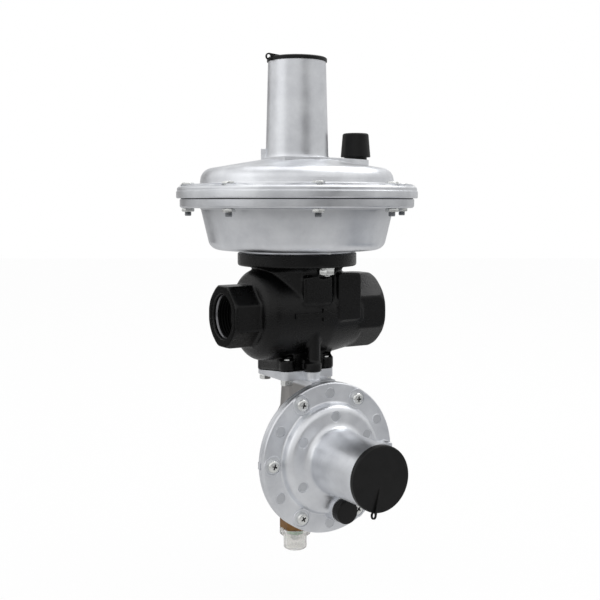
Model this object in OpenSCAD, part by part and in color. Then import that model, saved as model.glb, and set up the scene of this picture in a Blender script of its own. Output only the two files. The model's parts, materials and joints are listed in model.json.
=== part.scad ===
// Gas pressure regulator with a safety shut-off module under its body.
// X runs with the flow, Z is up, and the origin is the centre of the inlet face.
// Every module is drawn about the point where the pipe axis meets the main axis.

/* [Ports] */
// Main axis to the inlet face
inlet_reach = 62.4; // [60:0.1:72]
// Main axis to the outlet face
outlet_reach = 61.5; // [60:0.1:72]
// Inlet octagon across flats
inlet_flats = 44; // [40:0.5:53]
// Outlet octagon across flats
outlet_flats = 55.5; // [50:0.5:60]
// Inlet thread, pitch radius
inlet_thread_r = 15.73; // [13:0.01:17]
// Outlet thread, pitch radius
outlet_thread_r = 20.1; // [17:0.01:22]
// Depth of both threads
port_depth = 16; // [13:0.5:16.5]

/* [Body] */
// Radius of the horizontal barrel
barrel_r = 33.5; // [33.5:0.5:40]
// Radius of the vertical neck
neck_r = 33; // [32:0.5:38]
// Pipe axis to the casing joint
joint_z = 44.6; // [43:0.1:54]
// Radius of the round top flange
top_flange_r = 44.1; // [42:0.1:52]
// Thickness of the round top flange
top_flange_t = 9.6; // [7:0.1:11]
// Pipe axis to the underside of the square base
base_drop = 40.4; // [38:0.1:48]
// Half the pitch of the four base bolts
base_half_pitch = 16.4; // [15.8:0.1:21]
// Radius of a base lug
lug_r = 5.6; // [5:0.1:7.5]

/* [Diaphragm casing] */
// Pipe axis to the middle of the diaphragm rim
parting_z = 84.4; // [80:0.1:101]
// Thickness of the upper flange
upper_flange_t = 9.2; // [8:0.1:12]
// Thickness of the lower flange
lower_flange_t = 6.4; // [5:0.1:8]
// Number of casing bolts
bolt_count = 8; // [6:1:12]
// Turn of the first casing bolt from the flow
bolt_turn = 24.8; // [0:0.1:45]
// Wall of the die cast casings
casing_wall = 3.2; // [2.4:0.1:4]
// Height of the foot under the bowl
bowl_lift = 2.2; // [1:0.1:4]
// Radius of the foot under the bowl
bowl_foot_r = 40.8; // [38:0.1:42]
// Radius of the dome at its foot
dome_r = 71.6; // [59:0.1:86]
// Foot of the dome to the casing bolt circle
bolt_land = 8.9; // [8:0.1:11]
// Casing bolt circle to the edge of the lower flange
lower_rim = 5.9; // [5:0.1:8]
// Casing bolt circle to the edge of the upper flange
upper_rim = 8.5; // [7.5:0.1:11]
// Height of the dome above the flange
dome_rise = 19.2; // [16:0.1:24]
// Thickness of the diaphragm
diaphragm_t = 1.2; // [0.8:0.1:1.6]

/* [Spring tower] */
// Pipe axis to the top of the tower
tower_top = 185.2; // [154:0.1:223]
// Inner radius of the tower
tower_bore_r = 18.2; // [17.6:0.1:22]
// Wall of the tower at its foot
tower_foot_wall = 5; // [4:0.1:6]
// Wall of the tower at its top
tower_top_wall = 3.2; // [2.6:0.1:4]
// Foot of the dome in to the vent
vent_inset = 19.6; // [17:0.1:24]

/* [Shut-off module] */
// Main axis to the shut-off axis, against the flow
stem_back = 1.6; // [0:0.1:3]
// Pipe axis down to the module axis
module_drop = 99.1; // [97:0.1:119]
// Radius of the two round module flanges
module_flange_r = 53.3; // [51:0.1:62]
// Stem axis to the face of the module cover flange
cover_face = 46; // [44:0.1:54]
// Radius of the cover screw circle
screw_circle_r = 45.9; // [44:0.1:47]
// Number of cover screws
screw_count = 6; // [4:1:8]
// Stem axis to the end of the module spring case
case_reach = 106.9; // [100:0.1:128]
// Inner radius of the module spring case
case_bore_r = 17.5; // [17:0.1:21]
// Wall of the module spring case
case_wall = 3.9; // [3:0.1:5]
// Module axis down to the end of the brass bushing
bushing_reach = 62.3; // [60:0.1:75]

/* [Movement] */
// Travel of the diaphragm head from open to closed
head_travel = 6; // [4:0.1:6.5]
// Travel of the shut-off plug from open to closed
plug_travel = 12.9; // [10:0.1:15.5]
// Coils of the control spring
spring_turns = 7; // [5:1:10]

/* [Clearances] */
// Gap between pieces that slide on each other
slide_gap = 0.3; // [0.3:0.05:0.5]
// Gap round a pivot pin
pin_gap = 0.05; // [0.03:0.01:0.1]
// Gap under the rim of a pushed on cap
cap_gap = 0.1; // [0.05:0.05:0.3]

/* [Hidden] */
$fn = 96;
iron = "#1b1b1d";
cast_silver = "#b4b7ba";
zinc = "#d5d6d2";
rubber = "#26262a";
plastic = "#161617";
steel = "#9a9da1";
brass = "#a9823f";
spring_steel = "#7d8086";

// Heights of the casing stack above the pipe axis
lower_top = parting_z - diaphragm_t / 2;
upper_bottom = parting_z + diaphragm_t / 2;
upper_top = upper_bottom + upper_flange_t;
lower_bottom = lower_top - lower_flange_t;
dome_top = upper_top + dome_rise;
bolt_circle_r = dome_r + bolt_land;
lower_flange_r = bolt_circle_r + lower_rim;
upper_flange_r = bolt_circle_r + upper_rim;
tower_foot_r = tower_bore_r + tower_foot_wall;
tower_top_r = tower_bore_r + tower_top_wall;
vent_reach = dome_r - vent_inset;
case_r = case_bore_r + case_wall;

// Valve mechanism inside the body
web_x = 13;
orifice_start = 8.2;
orifice_bore = 6.5;
orifice_thread_r = 10;
orifice_flange_r = 12.5;
orifice_flange_t = 2.5;
orifice_lip = 1.5;
lever_x = 29.5;
lever_z = 21;
lever_half = 1.3;
lever_nose_r = 2.5;
lever_blade = 4;
lever_pin_r = 2;
lever_pin_half = 13;
slot_half = lever_nose_r + slide_gap;
valve_travel = head_travel * lever_z / lever_x;
disk_gap = valve_travel + 0.2;
disk_face = web_x + orifice_flange_t + orifice_lip + disk_gap;
disk_t = 2.5;
disk_r = 9.5;
holder_r = 11;
stem_block_r = 6;
stem_rod_r = 3;
guide_x = 35.5;
guide_t = 4;
rod_end = guide_x + guide_t + valve_travel - 1.5;
outlet_passage_r = 18;
post_r = 6;
throat_r = 24;
throat_floor = 12.5;
spigot_r = 25.8;
spigot_depth = 6;
spigot_bore_r = 20;

// Diaphragm head, drawn with the valve wide open
head_sink = 4;
head_z = parting_z - head_sink;
plate_r = dome_r - 19.6;
plate_t = 1.8;
post_stud_r = 4;
nut_t = 5;
head_top = head_z + diaphragm_t / 2 + plate_t;
spring_wire_r = 2;
spring_r = tower_bore_r - 4.2;
seat_z = tower_top - 35;
spring_lip_r = spring_r - spring_wire_r - 1.4;
seat_t = 3;
adjuster_t = 15;
cap_overhang = 0.8;
cap_lip = 1.2;
cap_rim_t = 2.5;
cap_plug = 4;

// Casing fasteners
bolt_r = 2.45;
bolt_hole_r = 2.75;
bolt_head_r = 5.4;
bolt_head_t = 4.2;
head_recess_t = 2.6;
nut_flats = 8;
nut_h = 2.7;
bolt_end = 3;
screw_spot = [2.6, -37.9];
screw_shank_r = 3;
spot_face_r = 6.4;
spot_face_t = 8;

// Vent on the dome
vent_hole_r = 6;
vent_boss_r = 10.1;
vent_neck_t = 2.1;
vent_pad_z = dome_top + 0.6;
dome_break_r = tower_foot_r + 3.8;
pad_left = tower_foot_r + 4.6;
pad_corner = tower_foot_r + 6.8;
pad_front = tower_foot_r + 9.8;
pad_rear = tower_foot_r + 0.8;

// Safety shut-off, w is measured from the stem axis towards the cover
module_z = -module_drop;
base_z = -base_drop;
flange_drop = 6.4;
rear_drop = 3;
cover_flange_t = 3.2;
module_diaphragm_t = 0.8;
module_flange_t = 3.2;
cover_back = cover_face - cover_flange_t;
module_joint = cover_back - module_diaphragm_t;
module_back = module_joint - module_flange_t;
dome_face = cover_face + 8;
plug_r = 11.5;
plug_t = 3.7;
pad_t = 1.5;
module_spigot = 3.8;
module_spigot_top = base_z + module_spigot;
plug_top = module_spigot_top + 0.4 + plug_t + pad_t;
plug_seat_z = plug_top + plug_travel + 0.1;
chamber_r = 17;
seat_hole_r = 7;
shutoff_coil_r = 6;
shutoff_wire_r = 0.9;
spring_well_r = shutoff_coil_r + shutoff_wire_r + 0.7;
spring_land = 3;
spring_well_z = module_spigot_top - 23;
stem_r = 3.5;
stem_bore_r = 6;
collar_r = 5.5;
trip_w = 16;
trip_pivot_z = module_z + 15;
trip_plate_r = 26;
trip_plate_t = 2;
trip_stud_r = 2.5;
trip_pin_r = 1.5;
trip_pin_half = 7;
trip_nose_r = 1.8;
trip_blade = 4;
trip_spring_r = case_bore_r - 5.5;
trip_wire_r = 1.5;
trip_lip_r = trip_spring_r - trip_wire_r - 1.3;
trip_seat_w = case_reach - 20.5;
trip_seat_t = 3;
trip_adjuster_t = 8;
bushing_z = module_z - bushing_reach;
bushing_top = bushing_z + 13;
bushing_well_r = 8.5;
bushing_thread_r = 9.8;
bushing_thread = 9.5;
module_groove = [0.9, 1.6, 1.6];
hex_flats = 20;
clear_collar_t = 4.7;
clear_length = 15.5;
clear_r = 8.6;
clear_bore_r = 6.9;
vent_plug_spot = [4.5, -35.5];
vent_boss_t = 10.5;

// Points of an arc round a centre, from one angle to another
function arc(centre, r, from, to, steps = 8) =
    [for (i = [0:steps]) let (a = from + (to - from) * i / steps) centre + r * [cos(a), sin(a)]];

// Points round a circle of places, first angle then count
function ring_places(r, count, first) =
    [for (i = [0:count - 1]) let (a = first + 360 * i / count) r * [cos(a), sin(a)]];

// Where the line from a point, with the flow and in front, touches a circle
function touch_point(p, centre, r) =
    let (d = centre - p, a = atan2(d[1], d[0]) - asin(r / norm(d)))
    p + sqrt(d * d - r * r) * [cos(a), sin(a)];

// One ring of points round the wire of a spring
function coil_ring(r, wire, turn, z, sides) = [for (k = [0:sides - 1]) let (b = 360 * k / sides)
    [(r + wire * cos(b)) * cos(360 * turn), (r + wire * cos(b)) * sin(360 * turn), z + wire * sin(b)]];

// The wound tube of a compression spring, from z0 to z1
module coil(r, wire, turns, z0, z1) {
    sides = 6;
    rings = 8 * turns;
    points = [for (i = [0:rings]) each coil_ring(r, wire, i / 8, z0 + (z1 - z0) * i / rings, sides)];
    walls = [for (i = [0:rings - 1], k = [0:sides - 1])
        let (a = i * sides + k, b = i * sides + (k + 1) % sides)
        each [[a, a + sides, b], [b, a + sides, b + sides]]];
    first_end = [for (k = [1:sides - 2]) [0, k, k + 1]];
    last = rings * sides;
    last_end = [for (k = [1:sides - 2]) [last, last + k + 1, last + k]];
    echo(str("coil gap ", (z1 - z0) / turns - 2 * wire));
    polyhedron(points, concat(walls, first_end, last_end));
}

// Stands a shape drawn along +Z on the pipe axis, pointing with the flow
module along_flow() {
    rotate([0, 90, 0]) children();
}

// Lays a shape drawn along +Z on the module axis, pointing to the cover
module on_module_axis() {
    translate([0, 0, module_z]) rotate([90, 0, 0]) children();
}

// Stands a shape on the shut-off axis
module on_stem_axis() {
    translate([-stem_back, 0, 0]) children();
}

module at_places(places) {
    for (p = places) translate([p[0], p[1], 0]) children();
}

module turned(profile) {
    rotate_extrude() polygon(profile);
}

module ring(outer, inner, z0, z1) {
    turned([[inner, z0], [outer, z0], [outer, z1], [inner, z1]]);
}

module hexagon(flats, h) {
    cylinder(r = flats / 2 / cos(30), h = h, $fn = 6);
}

// A block with rounded upright edges, standing on z0
module rounded_block(size, r, z0, h) {
    translate([-size[0] / 2 + r, -size[1] / 2, z0]) cube([size[0] - 2 * r, size[1], h]);
    translate([-size[0] / 2, -size[1] / 2 + r, z0]) cube([size[0], size[1] - 2 * r, h]);
    for (sx = [-1, 1], sy = [-1, 1])
        translate([sx * (size[0] / 2 - r), sy * (size[1] / 2 - r), z0]) cylinder(r = r, h = h, $fn = 48);
}

// An octagonal pipe end, its corners turned off over the last stretch
module port_end(flats, reach, root, turned_off) {
    corner_r = flats / 2 / cos(22.5);
    edge = 0.8;
    intersection() {
        translate([0, 0, root]) rotate(22.5) cylinder(r = corner_r, h = reach - root, $fn = 8);
        turned([[0, root - 1], [corner_r + 1, root - 1], [corner_r + 1, reach - turned_off - 2],
            [corner_r - 0.2, reach - turned_off], [flats / 2 + edge - 0.2, reach - edge],
            [flats / 2 - edge, reach], [0, reach]]);
    }
}

module port_bore(thread_r, reach) {
    chamfer = 1.2;
    translate([0, 0, reach - port_depth]) cylinder(r = thread_r, h = port_depth + 1);
    turned([[0, reach - chamfer], [thread_r, reach - chamfer], [thread_r + chamfer + 0.1, reach + 0.1],
        [0, reach + 0.1]]);
}

bolt_places = ring_places(bolt_circle_r, bolt_count, bolt_turn);
screw_places = ring_places(screw_circle_r, screw_count, 0);
base_places = [for (sx = [-1, 1], sy = [-1, 1]) base_half_pitch * [sx, sy] - [stem_back, 0]];
rear_places = [for (p = base_places) if (p[1] > 0) p];
front_places = [for (p = base_places) if (p[1] < 0) p];
port_spot = [-2.3, -26.6];
port_boss_r = 5.4;
shoulder_x = 42;
shoulder_r = 11;
taper_from = 12;
taper_to = 40;

module body_casting() {
    along_flow() {
        turned(concat([[0, -shoulder_x]],
            arc([barrel_r - shoulder_r, shoulder_r - shoulder_x], shoulder_r, -90, 0),
            [[barrel_r, taper_from], [outlet_flats / 2 + 1, taper_to], [0, taper_to]]));
        mirror([0, 0, 1]) port_end(inlet_flats, inlet_reach, shoulder_x - 4, 1.6);
        port_end(outlet_flats, outlet_reach, taper_to - 3, 5);
    }
    flare = 3;
    under = joint_z - top_flange_t;
    turned([[0, 0], [neck_r, 0], [neck_r, under - flare], [neck_r + flare, under],
        [top_flange_r - 0.8, under], [top_flange_r, under + 0.8], [top_flange_r, joint_z], [0, joint_z]]);
    body_base();
    side_boss();
}

// The square base: two long lugs behind, two short ones in front, and the sensing boss
module body_base() {
    lug_t = 8.2;
    rear_lug_t = 14.5;
    boss_foot_t = 6.6;
    column = 2 * base_half_pitch + 5.6;
    outlet_wall = 1.9;
    difference() {
        on_stem_axis() translate([outlet_wall / 2, 0, 0])
            rounded_block([column + outlet_wall, column], 2.2, base_z, base_drop - 6);
        // Pockets over the front screws
        at_places(front_places) translate([0, 0, base_z + lug_t])
            cylinder(r = lug_r - 1, h = 3.4, $fn = 48);
    }
    base_skirt(lug_t, 0);
    at_places(base_places) translate([0, 0, base_z]) cylinder(r = lug_r, h = lug_t, $fn = 48);
    at_places(rear_places) translate([0, 0, base_z - rear_drop])
        cylinder(r = lug_r, h = rear_lug_t, $fn = 48);
    at_places([port_spot]) translate([0, 0, base_z]) {
        cylinder(r = port_boss_r + 1, h = boss_foot_t, $fn = 48);
        translate([0.8, 0, 0]) cylinder(r = port_boss_r - 0.6, h = base_drop - 3, $fn = 48);
    }
}

// Wall of the base on the inlet side, whose skirt laps the module's plate deeper towards the rear
module base_skirt(h, gap) {
    outer = base_half_pitch + lug_r - 0.2 + gap;
    front = 4 - base_half_pitch;
    on_stem_axis() translate([-outer, 0, 0]) rotate([90, 0, 90]) linear_extrude(3.5 + 2 * gap)
        polygon([[front - 10 * gap, base_z + h], [base_half_pitch + gap, base_z + h],
            [base_half_pitch + gap, base_z - rear_drop - gap], [front - 10 * gap, base_z]]);
}

// Flat pads on the front: one for a pressure tapping, one left bare
module side_boss() {
    tapping = [15.6, -4.4, 19.4, 34.6];
    bare = [-13.5, 9, 23.5, 19.6];
    translate([tapping[0] + tapping[2] / 2, -18, tapping[1] + tapping[3] / 2]) rotate([90, 0, 0])
        rounded_block([tapping[2], tapping[3]], 2.5, 0, 15.4);
    translate([bare[0] + bare[2] / 2, -24, bare[1] + bare[3] / 2]) rotate([90, 0, 0])
        rounded_block([bare[2], bare[3]], 2, 0, neck_r - 24 + 0.8);
}

module body_passages() {
    inlet_passage_r = 13;
    mid_r = 9;
    along_flow() {
        mirror([0, 0, 1]) port_bore(inlet_thread_r, inlet_reach);
        port_bore(outlet_thread_r, outlet_reach);
        translate([0, 0, port_depth - inlet_reach - 1])
            cylinder(r = inlet_passage_r, h = inlet_reach - port_depth - 19);
        translate([0, 0, -mid_r]) cylinder(r = mid_r, h = mid_r + orifice_start + 1);
        translate([0, 0, orifice_start]) cylinder(r = orifice_thread_r, h = web_x - orifice_start + 1);
        translate([0, 0, web_x]) cylinder(r = outlet_passage_r, h = outlet_reach - port_depth - web_x + 1);
    }
    translate([-32, 0, 0]) rotate([0, 134, 0]) cylinder(r = 9, h = 38);
    translate([0, 0, throat_floor]) cylinder(r = throat_r, h = joint_z);
    translate([0, 0, joint_z - spigot_depth - 1]) cylinder(r = spigot_r + 0.2, h = spigot_depth + 2);
    translate([web_x + 3, -7, 0]) cube([lever_x - web_x + 1.2, 14, lever_z + 4.6]);
    translate([lever_x, lever_pin_half + 1, lever_z]) rotate([90, 0, 0])
        cylinder(r = lever_pin_r, h = 2 * lever_pin_half + 2, $fn = 48);
    on_stem_axis() {
        translate([0, 0, base_z - 1]) cylinder(r = chamber_r, h = plug_seat_z - base_z + 1);
        translate([0, 0, plug_seat_z - 1]) cylinder(r = seat_hole_r, h = 12);
    }
    at_places(base_places) translate([0, 0, base_z - rear_drop - 1])
        cylinder(r = 2.5, h = rear_drop + 10, $fn = 48);
    for (s = [1, -1]) translate([s * screw_spot[0], s * screw_spot[1], joint_z - top_flange_t]) {
        translate([0, 0, -1]) cylinder(r = screw_shank_r + 0.2, h = top_flange_t + 2, $fn = 48);
        translate([0, 0, -spot_face_t]) cylinder(r = spot_face_r, h = spot_face_t, $fn = 48);
    }
}

// Black iron body with the screwed ports, top flange and square base
module valve_body() {
    color(iron) difference() {
        body_casting();
        body_passages();
    }
}

// Seat ring screwed into the web, its raised lip facing the disk
module seat_orifice() {
    flange_end = web_x + orifice_flange_t;
    back = orifice_start + 0.2;
    color(brass) along_flow() turned([[orifice_bore, back], [orifice_thread_r, back],
        [orifice_thread_r, web_x], [orifice_flange_r, web_x], [orifice_flange_r, flange_end],
        [orifice_bore + 2, flange_end], [orifice_bore + 0.8, flange_end + orifice_lip],
        [orifice_bore, flange_end + orifice_lip]]);
}

// Spider that carries the far end of the valve stem
module stem_guide() {
    hub_r = 5.5;
    color(steel) along_flow() translate([0, 0, guide_x]) difference() {
        union() {
            ring(outlet_passage_r, outlet_passage_r - 3, 0, guide_t - 0.5);
            cylinder(r = hub_r, h = guide_t, $fn = 48);
            for (a = [0:120:240]) rotate(a) translate([0, -1.5, 0])
                cube([outlet_passage_r - 1.5, 3, guide_t - 0.5]);
        }
        translate([0, 0, -1]) cylinder(r = stem_rod_r + pin_gap, h = guide_t + 2, $fn = 48);
    }
}

// Holder, slotted block and guide rod of the valve, in one piece
module valve_stem() {
    back = disk_face + disk_t;
    block_end = lever_x + slot_half + 2;
    color(steel) difference() {
        along_flow() turned([[0, back], [disk_r - 2, back], [disk_r - 2, back - 1], [holder_r, back - 1],
            [holder_r, back + 2], [stem_block_r, back + 2], [stem_block_r, block_end],
            [stem_rod_r, block_end], [stem_rod_r, rod_end], [0, rod_end]]);
        translate([lever_x - slot_half, -lever_blade / 2 - slide_gap, -stem_block_r - 1])
            cube([2 * slot_half, lever_blade + 2 * slide_gap, 2 * stem_block_r + 2]);
    }
}

// Rubber disk that closes on the lip of the seat
module valve_disk() {
    color(rubber) along_flow() turned([[0, disk_face], [disk_r, disk_face], [disk_r, disk_face + disk_t - 1],
        [disk_r - 2, disk_face + disk_t - 1], [disk_r - 2, disk_face + disk_t], [0, disk_face + disk_t]]);
}

// Bell crank blade: a long arm to the post, a short arm to the stem
module crank_blade(long_arm, short_arm, hub_r, nose_r, half, hole_r) {
    difference() {
        union() {
            circle(r = hub_r, $fn = 48);
            translate([-long_arm, 0]) circle(r = nose_r, $fn = 48);
            translate([-long_arm, -half]) square([long_arm, 2 * half]);
            translate([0, -short_arm]) circle(r = nose_r, $fn = 48);
            translate([-half, -short_arm]) square([2 * half, short_arm]);
        }
        circle(r = hole_r, $fn = 48);
    }
}

module valve_lever() {
    color(zinc) translate([lever_x, lever_blade / 2, lever_z]) rotate([90, 0, 0]) linear_extrude(lever_blade)
        crank_blade(lever_x, lever_z, 4, lever_nose_r, lever_half, lever_pin_r + pin_gap);
}

module lever_pin() {
    color(steel) translate([lever_x, lever_pin_half, lever_z]) rotate([90, 0, 0])
        cylinder(r = lever_pin_r, h = 2 * lever_pin_half, $fn = 48);
}

// Round seal between the casing spigot and the body
module body_seal() {
    color(rubber) ring(spigot_r + 0.2, spigot_r - 1.6, joint_z - 4.4, joint_z - 2.4);
}

// The two screws that hold the casing to the body, from below
module casing_screws() {
    under = joint_z - top_flange_t;
    color(zinc) for (s = [1, -1]) translate([s * screw_spot[0], s * screw_spot[1], 0]) {
        translate([0, 0, under - 1]) cylinder(r = 5.4, h = 1, $fn = 48);
        translate([0, 0, under - 5.2]) rotate(15) hexagon(10, 4.2);
        translate([0, 0, under - 6.2]) cylinder(r = 2.2, h = 1.1, $fn = 48);
        translate([0, 0, under]) cylinder(r = screw_shank_r, h = top_flange_t + 7, $fn = 48);
    }
}

// Die cast bowl with the spigot that enters the body
module lower_casing() {
    bowl_z = joint_z + bowl_lift;
    floor_z = bowl_z + casing_wall;
    corner_r = 8;
    foot_r = dome_r - 5.9;
    inner_foot_r = foot_r - casing_wall;
    color(cast_silver) difference() {
        union() {
            turned(concat([[spigot_bore_r, joint_z - spigot_depth], [spigot_r, joint_z - spigot_depth],
                [spigot_r, joint_z], [bowl_foot_r, joint_z], [bowl_foot_r - 0.4, bowl_z]],
                arc([foot_r - corner_r, bowl_z + corner_r], corner_r, -90, -10),
                [[dome_r - 0.6, lower_bottom - 1], [dome_r + 0.4, lower_bottom],
                [lower_flange_r - 1.2, lower_bottom], [lower_flange_r, lower_bottom + 1.2],
                [lower_flange_r, lower_top], [dome_r - casing_wall - 0.6, lower_top]],
                arc([inner_foot_r - 5, floor_z + 5], 5, -10, -90), [[spigot_bore_r, floor_z]]));
            for (s = [1, -1]) translate([s * screw_spot[0], s * screw_spot[1], floor_z - 1])
                cylinder(r = 6.5, h = 6.5, $fn = 48);
        }
        for (s = [1, -1]) translate([s * screw_spot[0], s * screw_spot[1], joint_z - 1])
            cylinder(r = screw_shank_r, h = 8.2, $fn = 48);
        ring(spigot_r + 1, spigot_r - 1.6, joint_z - 4.4, joint_z - 2.4);
        at_places(bolt_places) translate([0, 0, lower_bottom - 1])
            cylinder(r = bolt_hole_r, h = lower_flange_t + 2, $fn = 48);
    }
}

// Rubber sheet, clamped at its rim, with one loop round the plates
module main_diaphragm() {
    t = diaphragm_t / 2;
    loop_r = 4;
    loop_at = plate_r + 3.5 + loop_r;
    color(rubber) difference() {
        turned(concat([[post_stud_r, head_z - t], [loop_at - loop_r, head_z - t]],
            arc([loop_at, head_z], loop_r - t, 180, 0), [[loop_at + loop_r, parting_z - t],
            [lower_flange_r - 0.8, parting_z - t], [lower_flange_r - 0.8, parting_z + t]],
            arc([loop_at, head_z + head_sink], loop_r + t, 0, 180), [[loop_at - loop_r - 1.2, head_z + t],
            [post_stud_r, head_z + t]]));
        at_places(bolt_places) translate([0, 0, parting_z - 2])
            cylinder(r = bolt_hole_r, h = 4, $fn = 48);
    }
}

module lower_plate() {
    top = head_z - diaphragm_t / 2;
    bottom = top - plate_t;
    color(zinc) turned([[post_stud_r, bottom], [plate_r - 3, bottom], [plate_r, bottom - 2],
        [plate_r + 1, bottom - 1], [plate_r - 2, top], [post_stud_r, top]]);
}

// Upper plate, dished up at its edge, with a collar that centres the spring
module upper_plate() {
    bottom = head_z + diaphragm_t / 2;
    collar = spring_lip_r;
    color(zinc) turned([[post_stud_r, bottom], [plate_r - 2, bottom], [plate_r + 1, bottom + 3],
        [plate_r, bottom + 4], [plate_r - 3, head_top], [collar, head_top], [collar - 0.8, head_top + 2.5],
        [collar - 2, head_top + 2.5], [collar - 2, head_top], [post_stud_r, head_top]]);
}

// Post that hangs from the plates and lifts the lever
module pusher_post() {
    top = head_z - diaphragm_t / 2 - plate_t;
    foot = lever_z - slot_half - 3;
    stud_end = head_top + nut_t + 2;
    color(steel) difference() {
        turned([[0, foot], [post_r, foot], [post_r, top - 2.5], [post_r + 3, top - 2.5], [post_r + 3, top],
            [post_stud_r, top], [post_stud_r, stud_end], [0, stud_end]]);
        translate([-post_r - 1, -lever_blade / 2 - slide_gap, lever_z - slot_half])
            cube([2 * post_r + 2, lever_blade + 2 * slide_gap, 2 * slot_half]);
    }
}

module post_nut() {
    color(zinc) translate([0, 0, head_top]) difference() {
        hexagon(13, nut_t);
        translate([0, 0, -1]) cylinder(r = post_stud_r, h = nut_t + 2, $fn = 48);
    }
}

// Wound spring between the upper plate and the adjustable seat
module control_spring() {
    color(spring_steel) coil(spring_r, spring_wire_r, spring_turns, head_top + spring_wire_r + 0.1,
        seat_z - spring_wire_r - 0.1);
}

module upper_spring_seat() {
    lip = spring_lip_r;
    rim = tower_bore_r - 1.5;
    color(zinc) turned([[0, seat_z], [lip - 2, seat_z], [lip - 2, seat_z - 2], [lip, seat_z - 2],
        [lip, seat_z], [rim, seat_z], [rim, seat_z + seat_t], [0, seat_z + seat_t]]);
}

// Screw with a hex socket that loads the control spring
module adjusting_screw() {
    bottom = seat_z + seat_t + cap_gap;
    rim = tower_bore_r - slide_gap;
    color(zinc) difference() {
        turned([[0, bottom], [tower_bore_r - 3, bottom], [rim, bottom + 2], [rim, bottom + adjuster_t],
            [0, bottom + adjuster_t]]);
        translate([0, 0, bottom + 5]) hexagon(22, adjuster_t);
    }
}

// Dome, tower, vent pad and flange of the spring case, one casting
module upper_casing() {
    rim_r = lower_flange_r - 0.2;
    lip = 1;
    lip_r = lower_flange_r + 0.4;
    color(cast_silver) difference() {
        union() {
            turned(concat([[0, upper_bottom], [lip_r, upper_bottom], [lip_r + 0.2, upper_bottom - lip],
                [upper_flange_r - 0.5, upper_bottom - lip], [upper_flange_r, upper_bottom - lip + 0.5],
                [upper_flange_r, upper_top - 3]],
                arc([upper_flange_r - 2, upper_top - 3.2], 2, 0, 90, 4),
                [[rim_r, upper_top - 1.2]], arc([rim_r - 1, upper_top - 1], 1, 0, 90, 3),
                [[dome_r + 1.6, upper_top]], arc([dome_r + 1.6, upper_top + 1.6], 1.6, -90, -180, 3),
                arc([dome_r - 9.4, upper_top + 3.2], 9.2, 5, 82), [[dome_break_r, dome_top - 0.6]],
                arc([tower_foot_r + 3.4, dome_top + 2.8], 3.4, -90, -180, 4),
                [[tower_top_r, tower_top], [0, tower_top]]));
            vent_pad();
            rotate(149.8) translate([18, -3, dome_top - 4]) cube([8.6, 6, 11.6]);
        }
        turned(concat([[0, upper_bottom - 1], [dome_r - casing_wall - 0.6, upper_bottom - 1]],
            arc([dome_r - 9.4, upper_top + 3.2], 9.2 - casing_wall, 0, 82),
            [[dome_break_r, dome_top - 0.6 - casing_wall], [tower_bore_r, dome_top + 4],
            [tower_bore_r, tower_top + 1], [0, tower_top + 1]]));
        at_places(bolt_places) {
            translate([0, 0, upper_bottom - 1]) cylinder(r = bolt_hole_r, h = upper_flange_t + 2, $fn = 48);
            translate([0, 0, upper_top - head_recess_t]) cylinder(r = bolt_head_r + 0.5, h = 5, $fn = 48);
        }
        translate([vent_reach, 0, upper_bottom + 10]) cylinder(r = vent_hole_r, h = dome_rise + 20, $fn = 48);
    }
}

// Level pad in front of the tower that runs on to the vent, with a round end
module vent_pad() {
    pad_under = dome_top - 9;
    touch_r = vent_boss_r - 0.1;
    front_touch = touch_point([0, -pad_front], [vent_reach, 0], touch_r);
    rear_touch = touch_point([0, -pad_rear], [vent_reach, 0], touch_r);
    translate([0, 0, pad_under]) linear_extrude(vent_pad_z - pad_under) {
        translate([vent_reach, 0]) circle(r = vent_boss_r, $fn = 64);
        polygon([[-pad_left, -pad_corner], [0, -pad_front], front_touch, [rear_touch[0], -rear_touch[1]],
            [0, pad_rear], [-pad_left, 2]]);
    }
}

// Screws through both flanges, heads sunk in the upper one
module casing_bolts() {
    seat = upper_top - head_recess_t;
    end = lower_bottom - nut_h - bolt_end;
    color(zinc) at_places(bolt_places) {
        translate([0, 0, end]) cylinder(r = bolt_r, h = seat - end, $fn = 32);
        translate([0, 0, seat]) cylinder(r = bolt_head_r, h = 1.2, $fn = 32);
        translate([0, 0, seat + 1.2]) hexagon(8, bolt_head_t - 1.2);
    }
}

module casing_nuts() {
    color(zinc) at_places(bolt_places) translate([0, 0, lower_bottom - nut_h]) difference() {
        hexagon(nut_flats, nut_h);
        translate([0, 0, -1]) cylinder(r = bolt_r, h = nut_h + 2, $fn = 32);
    }
}

// Rain cap of the vent, on a threaded stub
module vent_cap() {
    z = vent_pad_z;
    color(plastic) translate([vent_reach, 0, z]) turned(concat([[3.5, -7.5], [vent_hole_r, -7.5],
        [vent_hole_r, 0], [8.7, 0], [8.7, vent_neck_t], [11.4, vent_neck_t]], arc([8.4, 18.6], 1.6, 5, 90, 4),
        [[0, 20.2], [0, 16], [3.5, 14]]));
}

module vent_screen() {
    color(steel) translate([vent_reach, 0, vent_pad_z - 9]) ring(vent_hole_r, 3, 0, 1.5);
}

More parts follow.
